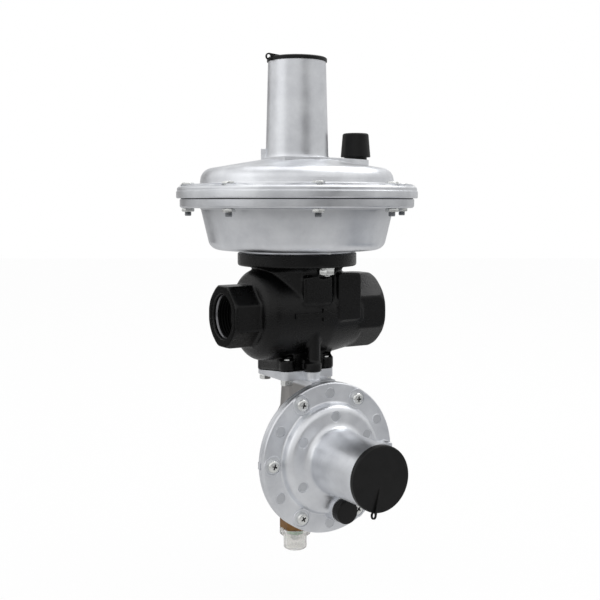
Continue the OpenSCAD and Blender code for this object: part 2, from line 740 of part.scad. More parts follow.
// Push-in cap for a tube end, with a raised fin and a sealing eye at its rim
module push_cap(tube_r, bore_r) {
    rim_r = tube_r + cap_overhang;
    plug_r = bore_r - slide_gap;
    fin_t = 1.4;
    eye_r = 2.6;
    eye_hole_r = 1.6;
    eye = [rim_r + 1.5, 2.2];
    difference() {
        union() {
            turned([[0, cap_gap], [tube_r + slide_gap, cap_gap], [tube_r + slide_gap, -cap_lip],
                [rim_r, -cap_lip], [rim_r, cap_rim_t - 0.6], [rim_r - 0.8, cap_rim_t + 0.1],
                [0, cap_rim_t + 0.4]]);
            ring(plug_r, plug_r - 2.2, -cap_plug, cap_gap + 0.5);
            translate([0, fin_t / 2, 0]) rotate([90, 0, 0]) linear_extrude(fin_t) {
                polygon([[6, 1.2], [eye[0], 1.2], eye + [0, eye_r], [6, cap_rim_t + 0.7]]);
                translate(eye) circle(r = eye_r, $fn = 48);
            }
        }
        translate([eye[0], fin_t, eye[1]]) rotate([90, 0, 0])
            cylinder(r = eye_hole_r, h = 2 * fin_t, $fn = 48);
    }
}

module closing_cap() {
    color(plastic) translate([0, 0, tower_top]) rotate(180) push_cap(tower_top_r, tower_bore_r);
}

// Casting that carries the stem, the trip gear and the module diaphragm
module module_body() {
    color(cast_silver) difference() {
        module_casting();
        module_cavities();
    }
}

module module_casting() {
    tube_r = 13.2;
    neck_top_r = spring_well_r + 2;
    neck_foot_r = neck_top_r + 1.6;
    neck_foot_z = spring_well_z - 10;
    corner_r = lug_r - 0.4;
    under = base_z - flange_drop;
    plate = 2 * (base_half_pitch + corner_r);
    on_stem_axis() {
        rounded_block([plate, plate], corner_r, under, flange_drop);
        translate([0, 0, base_z - 1]) cylinder(r = chamber_r - 0.2, h = module_spigot_top - base_z + 1);
        turned([[0, bushing_top], [tube_r, bushing_top], [tube_r, neck_foot_z - 4],
            [neck_foot_r, neck_foot_z], [neck_top_r, under + 1], [0, under + 1]]);
    }
    translate([port_spot[0], port_spot[1], under - 4])
        cylinder(r = port_boss_r, h = flange_drop + 4, $fn = 48);
    translate([port_spot[0] - port_boss_r, port_spot[1], under]) cube([2 * port_boss_r, 10, flange_drop]);
    on_module_axis() turned(concat([[0, 7], [30, 7], [38, 14], [40, module_back - 4], [44, module_back],
        [module_flange_r, module_back], [module_flange_r, module_joint], [0, module_joint]]));
    // Web between the square flange and the round one
    web_foot = module_z + 20;
    translate([-10, 1 - module_back, web_foot]) cube([20, module_back - 6, under + 1 - web_foot]);
    // Small points on the flange at both ends of its level diameter
    for (s = [-1, 1]) translate([s * (module_flange_r - 2), -module_joint, module_z]) rotate([-90, 0, 0])
        rotate(45) cylinder(r = 3.5, h = module_flange_t, $fn = 4);
}

module module_cavities() {
    land_z = spring_well_z - spring_land;
    on_stem_axis() {
        translate([0, 0, bushing_top - 1]) cylinder(r = stem_bore_r, h = land_z - bushing_top + 1);
        translate([0, 0, land_z - 1]) cylinder(r = stem_r + slide_gap, h = spring_land + 2, $fn = 48);
        translate([0, 0, bushing_top - 1]) cylinder(r = bushing_thread_r, h = bushing_thread + 1.5);
        translate([0, 0, spring_well_z]) cylinder(r = spring_well_r, h = -spring_well_z);
        translate([0, 0, base_z + module_groove[0]])
            ring(chamber_r + 1, chamber_r - module_groove[2], 0, module_groove[1]);
    }
    at_places(rear_places) translate([0, 0, base_z - rear_drop])
        cylinder(r = lug_r + slide_gap, h = rear_drop + 1, $fn = 48);
    base_skirt(1, 0.2);
    on_module_axis() {
        turned([[0, trip_w + 6], [trip_plate_r + 3, trip_w + 6], [34, module_joint - 8],
            [34, module_joint + 1], [0, module_joint + 1]]);
        cylinder(r = 5.2, h = trip_w + 8, $fn = 48);
        at_places(screw_places) translate([0, 0, module_back - 1])
            cylinder(r = 2, h = module_flange_t + 2, $fn = 32);
    }
    // Slot for the trip lever
    slot = trip_blade + 1.2;
    translate([-slot / 2, -trip_w - 7, module_z - 8]) cube([slot, trip_w + 7, 28]);
    trip_pin_rod();
    at_places(base_places) translate([0, 0, base_z - flange_drop - 1])
        cylinder(r = 2.75, h = flange_drop + 2, $fn = 48);
}

// Round seal in the groove of the module spigot
module module_seal() {
    z = base_z + module_groove[0];
    color(rubber) on_stem_axis() ring(chamber_r, chamber_r - module_groove[2], z, z + module_groove[1]);
}

// Four screws that hold the module under the body
module module_bolts() {
    under = base_z - flange_drop;
    color(zinc) at_places(base_places) {
        translate([0, 0, under - 4]) rotate(15) hexagon(8, 4);
        translate([0, 0, under]) cylinder(r = 2.5, h = flange_drop + 8.8, $fn = 32);
    }
}

// Plug that lifts to close the shut-off seat
module shutoff_plug() {
    top = plug_top - pad_t;
    bottom = top - plug_t;
    color(steel) on_stem_axis() turned([[stem_r, bottom], [plug_r - 1, bottom], [plug_r, bottom + 1],
        [plug_r, top], [stem_r, top]]);
}

module shutoff_pad() {
    color(rubber) on_stem_axis() ring(plug_r - 0.5, stem_r, plug_top - pad_t, plug_top);
}

// Stem from the plug through the module to the reset end
module shutoff_stem() {
    top = plug_top - 0.2;
    end = bushing_z - 9;
    collar = module_z + 6;
    color(steel) on_stem_axis() turned([[0, end], [2.6, end], [stem_r, end + 1], [stem_r, collar],
        [collar_r, collar], [collar_r, collar + 4], [stem_r, collar + 4], [stem_r, top], [0, top]]);
}

module shutoff_spring() {
    end_gap = shutoff_wire_r + 0.1;
    color(spring_steel) on_stem_axis() coil(shutoff_coil_r, shutoff_wire_r, 5, spring_well_z + end_gap,
        plug_top - pad_t - plug_t - end_gap);
}

// Crank that turns the diaphragm stroke into the release of the stem
module trip_lever() {
    finger = trip_w - collar_r - trip_nose_r - 0.4;
    color(zinc) translate([-trip_blade / 2, -trip_w, trip_pivot_z]) rotate([90, 0, 90])
        linear_extrude(trip_blade) mirror([1, 0])
        crank_blade(finger, trip_pivot_z - module_z, 3.2, trip_nose_r, 1, trip_pin_r + pin_gap);
}

module trip_pin_rod() {
    translate([-trip_pin_half, -trip_w, trip_pivot_z]) rotate([0, 90, 0])
        cylinder(r = trip_pin_r, h = 2 * trip_pin_half, $fn = 32);
}

module trip_lever_pin() {
    color(steel) trip_pin_rod();
}

// Rod from the module diaphragm to the trip lever
module trip_post() {
    rod_r = 4;
    slot = trip_nose_r + slide_gap;
    blade_gap = trip_blade + 2 * slide_gap;
    back = module_joint - trip_plate_t;
    end = cover_back + trip_plate_t + 4.5;
    color(steel) on_module_axis() difference() {
        turned([[0, 9], [rod_r, 9], [rod_r, back - 3], [7, back - 3], [7, back], [trip_stud_r, back],
            [trip_stud_r, end], [0, end]]);
        translate([-blade_gap / 2, -rod_r - 1, trip_w - slot]) cube([blade_gap, 2 * rod_r + 2, 2 * slot]);
    }
}

module trip_back_plate() {
    color(zinc) on_module_axis() ring(trip_plate_r, trip_stud_r, module_joint - trip_plate_t, module_joint);
}

module trip_front_plate() {
    front = cover_back + trip_plate_t;
    lip = trip_lip_r;
    color(zinc) on_module_axis() turned([[trip_stud_r, cover_back], [trip_plate_r, cover_back],
        [trip_plate_r, front], [lip, front], [lip, front + 2], [lip - 1.5, front + 2], [lip - 1.5, front],
        [trip_stud_r, front]]);
}

module trip_nut() {
    color(zinc) on_module_axis() translate([0, 0, cover_back + trip_plate_t]) difference() {
        hexagon(8, 3.5);
        translate([0, 0, -1]) cylinder(r = trip_stud_r, h = 6, $fn = 32);
    }
}

module module_diaphragm() {
    color(rubber) on_module_axis() difference() {
        ring(module_flange_r - 1, trip_stud_r, module_joint, cover_back);
        at_places(screw_places) translate([0, 0, module_joint - 1])
            cylinder(r = 2, h = 3, $fn = 32);
    }
}

module trip_spring() {
    color(spring_steel) on_module_axis() coil(trip_spring_r, trip_wire_r, 6,
        cover_back + trip_plate_t + trip_wire_r + 0.1, trip_seat_w - trip_wire_r - 0.1);
}

module trip_spring_seat() {
    lip = trip_lip_r;
    rim = case_bore_r - 1.5;
    w = trip_seat_w;
    color(zinc) on_module_axis() turned([[0, w], [lip - 2, w], [lip - 2, w - 2], [lip, w - 2], [lip, w],
        [rim, w], [rim, w + trip_seat_t], [0, w + trip_seat_t]]);
}

module trip_adjuster() {
    w = trip_seat_w + trip_seat_t + cap_gap;
    rim = case_bore_r - slide_gap;
    color(zinc) on_module_axis() difference() {
        turned([[0, w], [case_bore_r - 2, w], [rim, w + 1.5], [rim, w + trip_adjuster_t],
            [0, w + trip_adjuster_t]]);
        translate([0, 0, w + 3]) hexagon(17, trip_adjuster_t);
    }
}

// Cover with its stepped dome and spring case
module module_cover() {
    dome_foot = screw_circle_r - 6.9;
    runner_end = module_flange_r - 2.5;
    mark_r = 3.6;
    mark = 0.4;
    dome_mark = 0.7;
    dome_marks = [for (p = ring_places(30.5, screw_count, 180 / screw_count))
        if (norm(p - vent_plug_spot) > 14) p];
    color(cast_silver) on_module_axis() difference() {
        union() {
            turned(concat([[0, cover_back], [module_flange_r, cover_back],
                [module_flange_r, cover_face - 0.8], [module_flange_r - 0.8, cover_face],
                [dome_foot + 1.5, cover_face]],
                arc([dome_foot + 1.5, cover_face + 1.5], 1.5, -90, -180, 3),
                arc([dome_foot - 6, dome_face - 5.6], 5.6, 15, 88, 6), [[case_r + 6, dome_face + 0.6]],
                arc([case_r + 6, dome_face + 5.6], 5, -90, -180, 5),
                [[case_r, case_reach], [0, case_reach]]));
            at_places(screw_places) cylinder(r = 7, h = cover_face + 0.7, $fn = 48);
            at_places(ring_places(screw_circle_r + 0.3, screw_count, 180 / screw_count))
                cylinder(r = mark_r, h = cover_face + mark, $fn = 48);
            // Runner from the spring case to the flange edge
            linear_extrude(cover_face + 5)
                polygon([[15, -11], [runner_end, -5], [runner_end, 5], [15, 11]]);
            at_places([vent_plug_spot]) cylinder(r = 9.4, h = cover_face + vent_boss_t, $fn = 48);
        }
        cylinder(r = module_flange_r + 1, h = cover_back);
        turned([[0, cover_back - 1], [dome_foot - 4, cover_back - 1], [dome_foot - 4, cover_face + 1],
            [dome_foot - 8, dome_face - 3], [case_bore_r, dome_face - 2], [case_bore_r, case_reach + 1],
            [0, case_reach + 1]]);
        at_places(screw_places) {
            translate([0, 0, cover_back - 1]) cylinder(r = 2.2, h = cover_flange_t + 3, $fn = 32);
            translate([0, 0, cover_face]) cylinder(r = 5.6, h = 3, $fn = 48);
        }
        at_places(dome_marks) translate([0, 0, dome_face + 0.4 - dome_mark])
            cylinder(r = mark_r, h = 2, $fn = 48);
        at_places([vent_plug_spot]) translate([0, 0, cover_back - 1]) cylinder(r = 4, h = 20, $fn = 48);
    }
}

// Pan head screws round the cover
module cover_screws() {
    head_r = 4.3;
    color(zinc) on_module_axis() at_places(screw_places) {
        translate([0, 0, module_back + 0.5]) cylinder(r = 2, h = cover_face - module_back - 0.5, $fn = 32);
        translate([0, 0, cover_face]) turned(concat([[0, 0], [head_r, 0], [head_r, 0.9]],
            arc([head_r - 1.6, 1], 1.6, 10, 70, 3), [[0, 2.8]]));
    }
}

module module_closing_cap() {
    color(plastic) on_module_axis() translate([0, 0, case_reach]) rotate(-104.5)
        push_cap(case_r, case_bore_r);
}

module module_vent_cap() {
    w = cover_face + vent_boss_t;
    color(plastic) on_module_axis() at_places([vent_plug_spot]) turned(concat([[0, w - 4], [4, w - 4], [4, w],
        [8.4, w]], arc([7.2, w + 5.2], 1.2, 0, 90, 4), [[0, w + 6.6]]));
}

// Brass bushing that guides the stem and carries the clear cap
module reset_bushing() {
    color(brass) on_stem_axis() difference() {
        union() {
            translate([0, 0, bushing_z]) rotate(30) hexagon(hex_flats, bushing_top - bushing_z);
            translate([0, 0, bushing_top - 1]) cylinder(r = bushing_thread_r, h = bushing_thread + 1);
        }
        translate([0, 0, bushing_z - 1]) cylinder(r = stem_r + slide_gap, h = 40, $fn = 48);
        translate([0, 0, bushing_z - 1]) cylinder(r = bushing_well_r, h = plug_travel + 2);
    }
}

// Green sleeve on the stem, seen through the clear cap
module position_indicator() {
    top = bushing_z - 0.4;
    color("#3f9a4e") on_stem_axis() ring(clear_bore_r - 0.6, stem_r, top - 3.4, top);
}

// Clear cap over the reset end
module clear_cap() {
    collar_out = 11.6;
    top = bushing_z - cap_gap;
    bottom = top - clear_length;
    under = top - clear_collar_t;
    spigot = bushing_well_r - slide_gap;
    color("#d8dbd6", 0.6) on_stem_axis() turned([[0, bottom], [clear_r - 1, bottom], [clear_r, bottom + 1],
        [clear_r, under], [collar_out - 0.5, under], [collar_out, under + 0.5], [collar_out, top],
        [spigot, top], [spigot, top + 4], [clear_bore_r, top + 4], [clear_bore_r, bottom + 1.6],
        [0, bottom + 1.6]]);
}

// Moves the crossing of the axes so that the inlet face is at the origin
module placed() {
    translate([inlet_reach, 0, 0]) children();
}

placed() valve_body();
placed() seat_orifice();
placed() stem_guide();
placed() valve_stem();
placed() valve_disk();
placed() valve_lever();
placed() lever_pin();
placed() body_seal();
placed() casing_screws();
placed() lower_casing();
placed() main_diaphragm();
placed() lower_plate();
placed() upper_plate();
placed() pusher_post();
placed() post_nut();
placed() control_spring();
placed() upper_spring_seat();
placed() adjusting_screw();
placed() upper_casing();
placed() casing_bolts();
placed() casing_nuts();
placed() vent_cap();
placed() vent_screen();
placed() closing_cap();
placed() module_body();
placed() module_seal();
placed() module_bolts();
placed() shutoff_plug();
placed() shutoff_pad();
placed() shutoff_stem();
placed() shutoff_spring();
placed() trip_lever();
placed() trip_lever_pin();
placed() trip_post();
placed() trip_back_plate();
placed() trip_front_plate();
placed() trip_nut();
placed() module_diaphragm();
placed() trip_spring();
placed() trip_spring_seat();
placed() trip_adjuster();
placed() module_cover();
placed() cover_screws();
placed() module_closing_cap();
placed() module_vent_cap();
placed() reset_bushing();
placed() position_indicator();
placed() clear_cap();
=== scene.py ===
"""Looks of a gas pressure regulator with a safety shut-off module."""

import json
import math

import bpy
from mathutils import Matrix, Vector

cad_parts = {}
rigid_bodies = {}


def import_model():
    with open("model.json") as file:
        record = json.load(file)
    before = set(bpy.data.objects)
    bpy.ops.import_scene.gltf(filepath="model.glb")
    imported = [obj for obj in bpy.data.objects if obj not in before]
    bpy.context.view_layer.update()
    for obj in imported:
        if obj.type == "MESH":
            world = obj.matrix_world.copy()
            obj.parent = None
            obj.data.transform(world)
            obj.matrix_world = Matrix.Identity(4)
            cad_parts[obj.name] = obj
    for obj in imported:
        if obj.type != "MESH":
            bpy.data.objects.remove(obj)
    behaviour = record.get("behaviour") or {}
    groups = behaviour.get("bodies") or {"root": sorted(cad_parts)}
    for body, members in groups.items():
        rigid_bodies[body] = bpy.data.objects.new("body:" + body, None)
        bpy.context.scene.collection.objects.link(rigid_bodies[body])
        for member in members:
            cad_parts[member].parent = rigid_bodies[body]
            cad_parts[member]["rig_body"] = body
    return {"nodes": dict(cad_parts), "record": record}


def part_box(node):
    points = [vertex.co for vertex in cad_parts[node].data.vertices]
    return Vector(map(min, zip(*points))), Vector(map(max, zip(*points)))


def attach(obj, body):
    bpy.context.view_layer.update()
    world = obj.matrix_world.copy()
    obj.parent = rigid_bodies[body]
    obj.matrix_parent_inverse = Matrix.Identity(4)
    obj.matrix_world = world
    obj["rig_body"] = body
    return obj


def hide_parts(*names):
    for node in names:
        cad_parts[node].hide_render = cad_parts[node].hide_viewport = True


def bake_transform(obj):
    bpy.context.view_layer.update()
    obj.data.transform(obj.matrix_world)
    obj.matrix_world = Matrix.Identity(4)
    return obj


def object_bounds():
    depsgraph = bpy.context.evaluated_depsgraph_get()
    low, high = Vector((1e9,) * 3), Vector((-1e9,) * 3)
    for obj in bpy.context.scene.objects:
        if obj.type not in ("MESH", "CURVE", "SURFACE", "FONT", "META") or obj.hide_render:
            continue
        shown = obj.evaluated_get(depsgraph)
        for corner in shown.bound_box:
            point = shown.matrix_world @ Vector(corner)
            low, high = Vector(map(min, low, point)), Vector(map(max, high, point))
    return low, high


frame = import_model()
cad_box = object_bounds()
nodes = frame["nodes"]
scene = bpy.context.scene
scene.view_settings.view_transform = "Standard"

# The main axis stands over the body's middle, and the shut-off axis a little against the flow
MAIN_X = 0.0624
STEM_X = 0.0608
MODULE_Z = -0.0991
# The sight cap comes off downwards, so the floor lies below its lowest place
FLOOR_Z = cad_box[0][2] - 0.022
# Level directions in the studio, away from the camera and to its right
AWAY = Vector((0.5029, 0.8644, 0.0))
RIGHT = Vector((0.8644, -0.5029, 0.0))
# The turn that lays a round piece down along Y
LAID = (math.pi / 2, 0.0, 0.0)
# Widths of the rounded edges on castings, small pieces, inner pieces, caps and hexagon heads
CAST_EDGE = 0.0004
SMALL_EDGE = 0.0003
INNER_EDGE = 0.00025
CAP_EDGE = 0.0002
HEAD_EDGE = 0.00012


# Shader nodes

def grey(level):
    return (level, level, level)


def ramp(tree, source, stops):
    node = tree.nodes.new("ShaderNodeValToRGB")
    tree.links.new(source, node.inputs["Fac"])
    steps = node.color_ramp.elements
    while len(steps) < len(stops):
        steps.new(0.5)
    for step, (at, colour) in zip(steps, stops):
        step.position = at
        step.color = (*colour, 1.0)
    return node.outputs["Color"]


def mapped(tree, source, low, high, first=0.0, last=1.0):
    """Maps a value from the range low to high onto the range first to last."""
    node = tree.nodes.new("ShaderNodeMapRange")
    for name, value in (("From Min", low), ("From Max", high), ("To Min", first), ("To Max", last)):
        node.inputs[name].default_value = value
    tree.links.new(source, node.inputs["Value"])
    return node.outputs["Result"]


def maths(tree, operation, first, second):
    """A Math node between a socket and another socket or a number."""
    node = tree.nodes.new("ShaderNodeMath")
    node.operation = operation
    tree.links.new(first, node.inputs[0])
    if isinstance(second, float):
        node.inputs[1].default_value = second
    else:
        tree.links.new(second, node.inputs[1])
    return node.outputs[0]


def measured(tree, operation, source, point):
    """A Vector Math node that gives one number, from a socket and a fixed vector."""
    node = tree.nodes.new("ShaderNodeVectorMath")
    node.operation = operation
    node.inputs[1].default_value = point
    tree.links.new(source, node.inputs[0])
    return node.outputs["Value"]


def times(tree, first, second, kind="MULTIPLY"):
    node = tree.nodes.new("ShaderNodeMix")
    node.data_type = "RGBA"
    node.blend_type = kind
    node.inputs["Factor"].default_value = 1.0
    tree.links.new(first, node.inputs["A"])
    tree.links.new(second, node.inputs["B"])
    return node.outputs["Result"]


def place_on_object(tree):
    return tree.nodes.new("ShaderNodeTexCoord").outputs["Object"]


def object_noise(tree, scale, detail):
    noise = tree.nodes.new("ShaderNodeTexNoise")
    noise.inputs["Scale"].default_value = scale
    noise.inputs["Detail"].default_value = detail
    noise.inputs["Roughness"].default_value = 0.6
    tree.links.new(place_on_object(tree), noise.inputs["Vector"])
    return noise


def along(tree, axis, low, high, stops):
    """A tint that changes along one axis of the object, used for painted shade."""
    parts = tree.nodes.new("ShaderNodeSeparateXYZ")
    tree.links.new(place_on_object(tree), parts.inputs[0])
    return ramp(tree, mapped(tree, parts.outputs[axis], low, high), stops)


def shader_of(material):
    return material.node_tree.nodes["Principled BSDF"]


# Studio

def facing(way):
    """The turn that points a camera, lamp or card along a direction."""
    return way.to_track_quat("-Z", "Y").to_euler()


def aim_camera():
    bpy.ops.object.camera_add(location=(-0.3036, -0.6277, 0.0814))
    camera = bpy.context.object
    camera.name = "photo_camera"
    camera.rotation_euler = facing(Vector((0.5049, 0.8625, -0.0349)))
    camera.data.sensor_width = 36.0
    camera.data.lens = 58.72
    camera.data.shift_x = 0.0022
    camera.data.shift_y = -0.1056
    camera.data.clip_start = 0.01
    scene.camera = camera


def softbox(name, place, size, watts):
    """A large lamp that points at the middle of the object."""
    bpy.ops.object.light_add(type="AREA", location=place)
    lamp = bpy.context.object
    lamp.name = name
    lamp.data.shape = "RECTANGLE"
    lamp.data.size, lamp.data.size_y = size
    lamp.data.energy = watts
    lamp.rotation_euler = facing(Vector((MAIN_X, 0.0, 0.02)) - Vector(place))


def seen_straight(tree, path):
    """One for rays from the camera and through clear plastic, and nought for the rest."""
    return maths(tree, "MAXIMUM", path.outputs["Is Camera Ray"], path.outputs["Is Transmission Ray"])


def hang_white_tent():
    """White cloth all round, brighter overhead, with the gap that the tower's darker side mirrors."""
    strength = 0.92
    white = 1.0 / strength
    gap_way = (0.045, -0.999, 0.0)
    world = bpy.data.worlds.new("white_tent")
    scene.world = world
    world.use_nodes = True
    tree = world.node_tree
    link = tree.links.new
    way = tree.nodes.new("ShaderNodeTexCoord").outputs["Generated"]
    parts = tree.nodes.new("ShaderNodeSeparateXYZ")
    link(way, parts.inputs[0])
    height = ramp(tree, mapped(tree, parts.outputs["Z"], -1.0, 1.0),
                  [(0.0, grey(0.2)), (0.44, grey(0.3)), (0.52, grey(0.7)), (0.75, grey(1.0)),
                   (0.88, grey(0.95)), (1.0, grey(0.6))])
    gap = ramp(tree, measured(tree, "DOT_PRODUCT", way, gap_way),
               [(0.93, grey(1.0)), (0.978, grey(0.34)), (1.0, grey(0.28))])
    shade = ramp(tree, measured(tree, "DOT_PRODUCT", way, RIGHT), [(0.3, grey(1.0)), (0.8, grey(0.9))])
    lit = times(tree, times(tree, height, gap), shade)
    seen = tree.nodes.new("ShaderNodeMix")
    seen.data_type = "RGBA"
    seen.inputs["B"].default_value = (white, white, white, 1.0)
    link(seen_straight(tree, tree.nodes.new("ShaderNodeLightPath")), seen.inputs["Factor"])
    link(lit, seen.inputs["A"])
    sky = tree.nodes["Background"]
    link(seen.outputs["Result"], sky.inputs["Color"])
    sky.inputs["Strength"].default_value = strength


def light_studio():
    hang_white_tent()
    softbox("overhead", (MAIN_X + 0.2, 0.15, 1.3), (1.4, 1.2), watts=4.0)
    softbox("left", (-1.2, 0.1, 0.5), (0.9, 1.2), watts=1.2)
    softbox("upper_right", (0.8, 0.05, 1.15), (0.8, 0.9), watts=4.5)


def matt(name, colour):
    material = bpy.data.materials.new(name)
    material.use_nodes = True
    shader = shader_of(material)
    shader.inputs["Base Color"].default_value = (*colour, 1.0)
    shader.inputs["Roughness"].default_value = 0.9
    return material


def paper(name, camera_share, mirrored, painted_pool_middle=None):
    """Paper white to the camera, and to metal at the mirrored level: given a middle, a painted pool of
    light that dims far from it.
    """
    near, far, far_level = 2.1, 2.6, 0.15
    material = matt(name, grey(0.92))
    tree = material.node_tree
    link = tree.links.new
    path = tree.nodes.new("ShaderNodeLightPath")
    glossy = path.outputs["Is Glossy Ray"]
    straight = seen_straight(tree, path)
    level = mirrored
    # Painted pool of light: the mirrored level fades from near to far metres off its middle
    if painted_pool_middle:
        away = measured(tree, "DISTANCE", place_on_object(tree), painted_pool_middle)
        level = mapped(tree, away, near, far, mirrored, far_level)
    dimmed = maths(tree, "MULTIPLY", glossy, level)
    glow = tree.nodes.new("ShaderNodeEmission")
    link(maths(tree, "MAXIMUM", straight, dimmed), glow.inputs["Strength"])
    share = maths(tree, "MULTIPLY", maths(tree, "MAXIMUM", straight, glossy), camera_share)
    mix = tree.nodes.new("ShaderNodeMixShader")
    link(share, mix.inputs["Fac"])
    link(shader_of(material).outputs[0], mix.inputs[1])
    link(glow.outputs[0], mix.inputs[2])
    link(mix.outputs[0], tree.nodes["Material Output"].inputs["Surface"])
    return material


def stand_card(name, place, size, colour, upright):
    """A dark card outside the picture, for the metal to mirror along one edge."""
    card = add(bpy.ops.mesh.primitive_plane_add, size=1.0, location=place)
    card.name = name
    card.scale = (*size, 1.0)
    look = facing(AWAY)
    card.rotation_euler = look if upright else (0.0, 0.0, look.z)
    card.data.materials.append(matt(name, colour))
    card.visible_camera = False
    card.visible_diffuse = False
    card.visible_shadow = False


def lay_floor():
    side = 8.0
    floor = add(bpy.ops.mesh.primitive_plane_add, size=side, location=(1.0, 1.5, FLOOR_Z))
    floor.name = "floor"
    # The floor's last value is the middle of a painted pool of light, which only the metal's reflections
    # see
    floor.data.materials.append(paper("floor_paper", 0.955, 0.58, (MAIN_X - 0.25, -0.2, 0.0)))
    wall = add(bpy.ops.mesh.primitive_plane_add, size=side, location=(2.2, 3.6, FLOOR_Z + 3.9))
    wall.name = "wall"
    wall.rotation_euler = facing(AWAY)
    wall.data.materials.append(paper("wall_paper", 1.0, 0.62))
    low = FLOOR_Z + 0.002
    stand_card("left_card", (-0.55, 3.9, 0.6), (1.7, 2.6), (0.36, 0.35, 0.34), upright=True)
    stand_card("right_card", (0.56, -0.29, low), (0.42, 0.5), (0.2, 0.215, 0.245), upright=False)
    stand_card("far_left_card", (-0.228, 1.35, low), (0.4, 0.9), grey(0.08), upright=False)


# Handling of meshes

def add(primitive, **settings):
    """A new primitive, with nothing else selected."""
    bpy.ops.object.select_all(action="DESELECT")
    primitive(**settings)
    return bpy.context.object


def take(obj):
    """Leaves obj alone selected and active."""
    active = bpy.context.view_layer.objects.active
    if active and active.mode != "OBJECT":
        bpy.ops.object.mode_set(mode="OBJECT")
    bpy.ops.object.select_all(action="DESELECT")
    obj.select_set(True)
    bpy.context.view_layer.objects.active = obj


def edit(obj, kind="FACE", chosen=None):
    """Opens obj for editing with all selected, or only the faces that chosen(middle, normal) accepts."""
    take(obj)
    bpy.ops.object.mode_set(mode="EDIT")
    bpy.ops.mesh.select_mode(type=kind)
    bpy.ops.mesh.select_all(action="DESELECT" if chosen else "SELECT")
    if chosen:
        bpy.ops.object.mode_set(mode="OBJECT")
        for face in obj.data.polygons:
            face.select = chosen(face.center, face.normal)
        bpy.ops.object.mode_set(mode="EDIT")


def close(obj):
    bpy.ops.object.mode_set(mode="OBJECT")
    return obj


def pick(obj, chosen):
    """Opens obj for editing with the points that chosen(point) accepts selected."""
    edit(obj, "VERT")
    bpy.ops.mesh.select_all(action="DESELECT")
    close(obj)
    for vertex in obj.data.vertices:
        vertex.select = chosen(vertex.co)
    bpy.ops.object.mode_set(mode="EDIT")


def lift(obj, rise, chosen):
    """Moves the points that chosen(point) accepts upwards."""
    pick(obj, chosen)
    bpy.ops.transform.translate(value=(0.0, 0.0, rise))
    close(obj)


def from_axis(point):
    return math.hypot(point.x - MAIN_X, point.y)


def on_tower(point):
    return point.z > 0.1185


def on_trip_spring_case(point):
    return point.y < -0.0592


def modify(obj, kind, **settings):
    take(obj)
    tool = obj.modifiers.new(kind.lower(), kind)
    for key, value in settings.items():
        setattr(tool, key, value)
    bpy.ops.object.modifier_apply(modifier=tool.name)


def soften(obj, width, angle, segments=2, **settings):
    """Rounds the edges that are sharper than the angle."""
    modify(obj, "BEVEL", width=width, segments=segments, limit_method="ANGLE",
           angle_limit=math.radians(angle), **settings)


def settle(obj):
    take(obj)
    bpy.ops.object.transform_apply(location=True, rotation=True, scale=True)
    return obj


def turn_to(obj, axis, angle, move):
    """Turns obj about an axis through the origin, then moves it to its place."""
    obj.rotation_euler = [math.radians(angle) if axis == a else 0.0 for a in "XYZ"]
    obj.location = move
    settle(obj)


def cut(obj, tool, operation="DIFFERENCE"):
    modify(obj, "BOOLEAN", operation=operation, object=tool, solver="EXACT")
    bpy.data.objects.remove(tool)
    return obj


def join(pieces, name):
    take(pieces[0])
    for piece in pieces[1:]:
        piece.select_set(True)
    if len(pieces) > 1:
        bpy.ops.object.join()
    pieces[0].name = name
    return pieces[0]


def smooth(obj, angle):
    take(obj)
    bpy.ops.object.shade_smooth_by_angle(angle=math.radians(angle))
    return obj


def copy_of(node, name):
    """A merged copy of a CAD node's mesh."""
    piece = bpy.data.objects.new(name, nodes[node].data.copy())
    piece.data.materials.clear()
    scene.collection.objects.link(piece)
    take(piece)
    bpy.ops.mesh.customdata_custom_splitnormals_clear()
    edit(piece, "VERT")
    bpy.ops.mesh.remove_doubles(threshold=0.000002)
    return close(piece)


def box_of(obj):
    points = [v.co for v in obj.data.vertices]
    low = Vector(min(p[i] for p in points) for i in range(3))
    high = Vector(max(p[i] for p in points) for i in range(3))
    return low, high


def lumps(node):
    """The boxes of a CAD node's separate solids."""
    part = copy_of(node, "lumps")
    edit(part, "VERT")
    bpy.ops.mesh.separate(type="LOOSE")
    bpy.ops.object.mode_set(mode="OBJECT")
    found = list(bpy.context.selected_objects)
    boxes = sorted(tuple(tuple(corner) for corner in box_of(obj)) for obj in found)
    for obj in found:
        bpy.data.objects.remove(obj)
    return [(Vector(low), Vector(high)) for low, high in boxes]


def dress(obj, material):
    obj.data.materials.clear()
    obj.data.materials.append(material)


def stand_in(piece, node):
    """The piece replaces this CAD node, and takes its body, slot and finish."""
    entry = next(e for e in frame["record"]["subparts"] if e["node"] == node)
    if not piece.data.materials:
        dress(piece, finishes[entry["material_slot"]])
    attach(piece, nodes[node]["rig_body"])
    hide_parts(node)
    return piece


# Castings and mouldings

def part_thin_rings(piece):
    """Cuts thin ring faces into sectors, so that a bevel on both of their edges leaves them sound."""
    fewest_corners, hollow, thin, sectors = 40, 0.7, 0.0016, 24
    same_way, same_level = 0.999, 0.00002
    rings = []
    for face in piece.data.polygons:
        points = [piece.data.vertices[i].co for i in face.vertices]
        if len(points) < fewest_corners:
            continue
        middle = Vector((min(p[i] for p in points) + max(p[i] for p in points)) / 2 for i in range(3))
        away = [(p - middle).length for p in points]
        around = sum((points[i] - points[i - 1]).length for i in range(len(points)))
        if min(away) > hollow * max(away) and 2 * face.area / around < thin:
            rings.append((middle, face.normal.copy()))
    for middle, normal in rings:
        across = normal.orthogonal()
        for step in range(sectors):
            side = Matrix.Rotation(math.pi * step / sectors, 3, normal) @ across
            edit(piece, "FACE", lambda spot, way: way.dot(normal) > same_way
                 and abs((spot - middle).dot(normal)) < same_level)
            bpy.ops.mesh.bisect(plane_co=middle, plane_no=side)
            close(piece)


